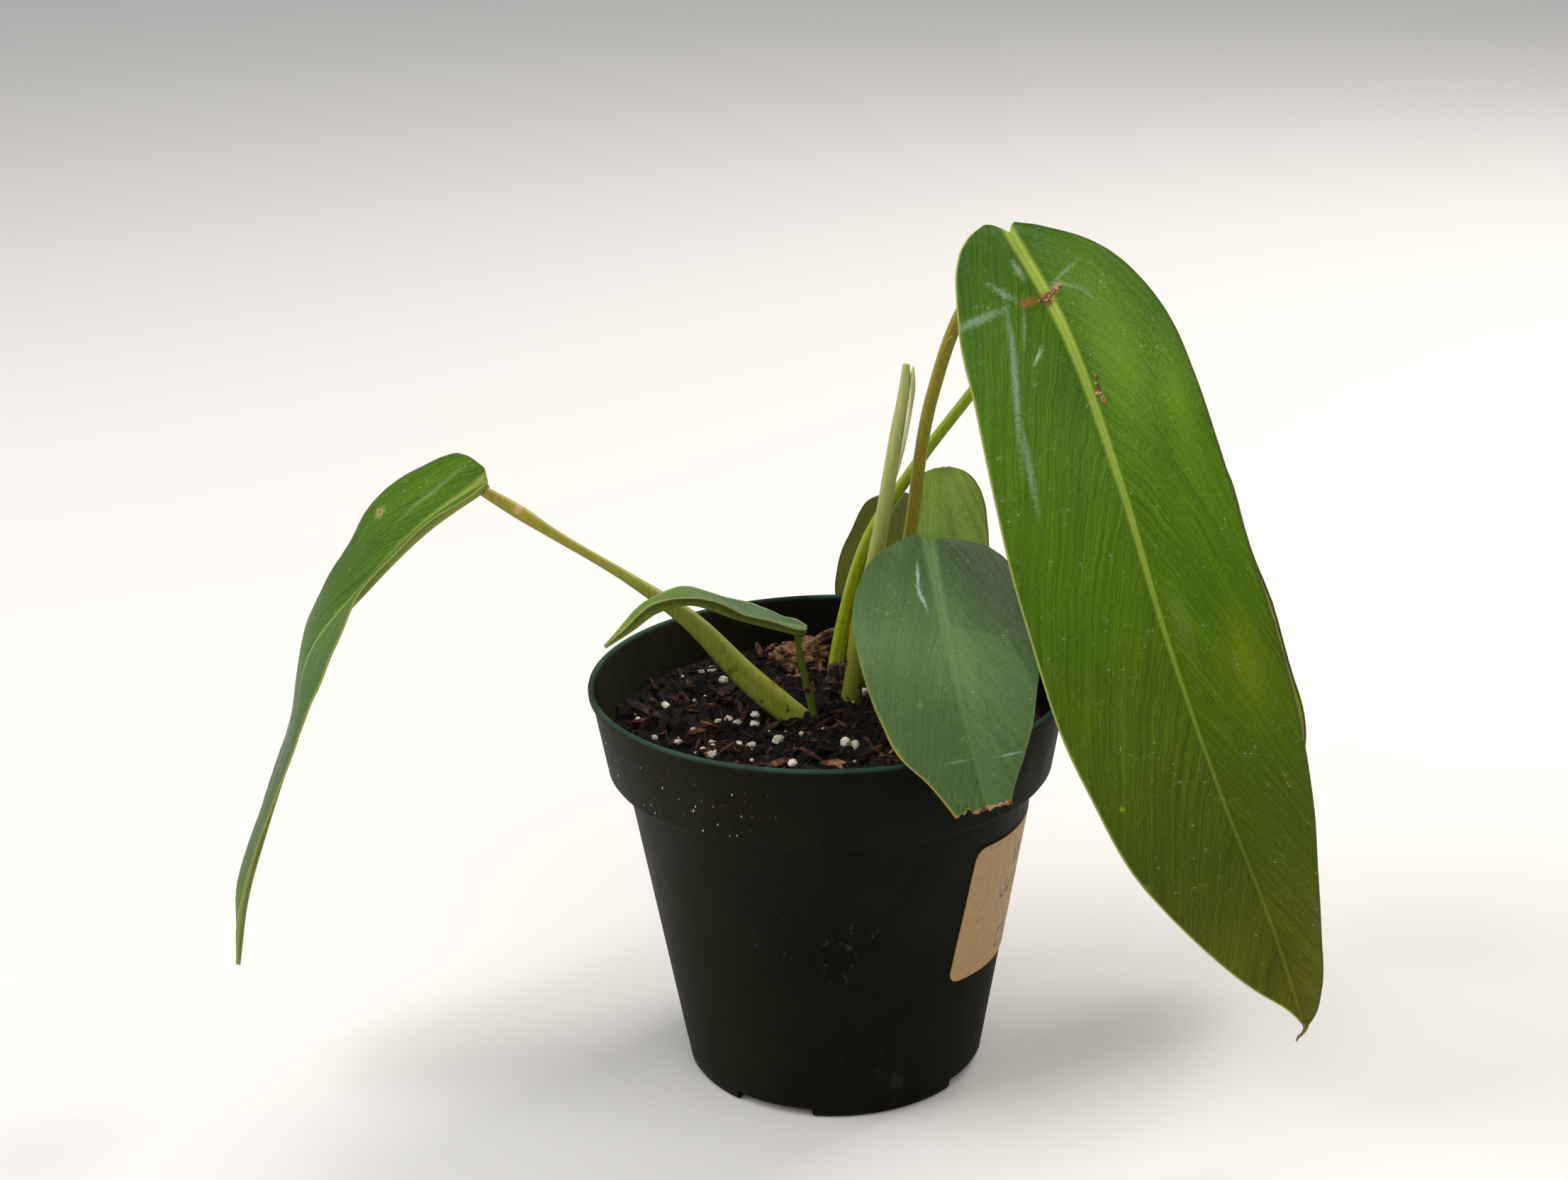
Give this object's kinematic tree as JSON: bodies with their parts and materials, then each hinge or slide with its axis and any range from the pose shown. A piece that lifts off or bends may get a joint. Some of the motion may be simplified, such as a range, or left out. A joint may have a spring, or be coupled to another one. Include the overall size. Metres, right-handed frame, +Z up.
{
  "type": "potted philodendron",
  "caption": "Young philodendron with strap-shaped leaves on arching stalks and a furled new shoot, in a round plastic nursery pot filled with bark mix.",
  "frame": {"origin": "centre of the pot's flat bottom, on the surface it stands on", "axes": "+Z up along the pot's axis, +X to the right of the picture's view, towards the big hanging leaf, +Y away from the viewer"},
  "size_m": [0.2892, 0.156, 0.2301],
  "materials": {
    "pot_plastic": "satin injection-moulded polypropylene, near-black green",
    "label_paper": "matt coated paper",
    "potting_mix": "damp peat with bark shreds, matt",
    "perlite": "porous white grains, matt",
    "bark": "rough bark, matt",
    "crown_cork": "dark corky skin, matt",
    "new_shoot": "smooth waxy skin",
    "sheath": "thin dry membrane, satin",
    "stalk_young": "smooth waxy skin, satin",
    "stalk_old": "smooth waxy skin, satin",
    "leaf_deep_green": "waxy leaf, satin",
    "leaf_blue_green": "waxy leaf, satin",
    "leaf_olive_green": "thin leaf, satin"
  },
  "bodies": {
    "root": {"back_leaf_blade": "leaf_olive_green", "back_leaf_stalk": "stalk_old", "bark_chip_1": "bark", "bark_chip_2": "bark", "bark_chip_3": "bark", "bark_chip_4": "bark", "bark_chip_5": "bark", "bark_chip_6": "bark", "big_leaf_blade": "leaf_deep_green", "big_leaf_stalk": "stalk_old", "far_leaf_blade": "leaf_olive_green", "far_leaf_stalk": "stalk_young", "front_leaf_blade": "leaf_blue_green", "front_leaf_stalk": "stalk_old", "long_leaf_blade": "leaf_deep_green", "long_leaf_stalk": "stalk_old", "main_crown": "crown_cork", "middle_leaf_blade": "leaf_olive_green", "middle_leaf_stalk": "stalk_young", "new_shoot": "new_shoot", "nursery_pot": "pot_plastic", "perlite_grain_1": "perlite", "perlite_grain_10": "perlite", "perlite_grain_11": "perlite", "perlite_grain_12": "perlite", "perlite_grain_2": "perlite", "perlite_grain_3": "perlite", "perlite_grain_4": "perlite", "perlite_grain_5": "perlite", "perlite_grain_6": "perlite", "perlite_grain_7": "perlite", "perlite_grain_8": "perlite", "perlite_grain_9": "perlite", "pot_label": "label_paper", "potting_soil": "potting_mix", "shoot_sheath": "sheath", "side_crown": "crown_cork", "small_leaf_blade": "leaf_deep_green", "small_leaf_stalk": "stalk_young"}
  },
  "joints": []
}
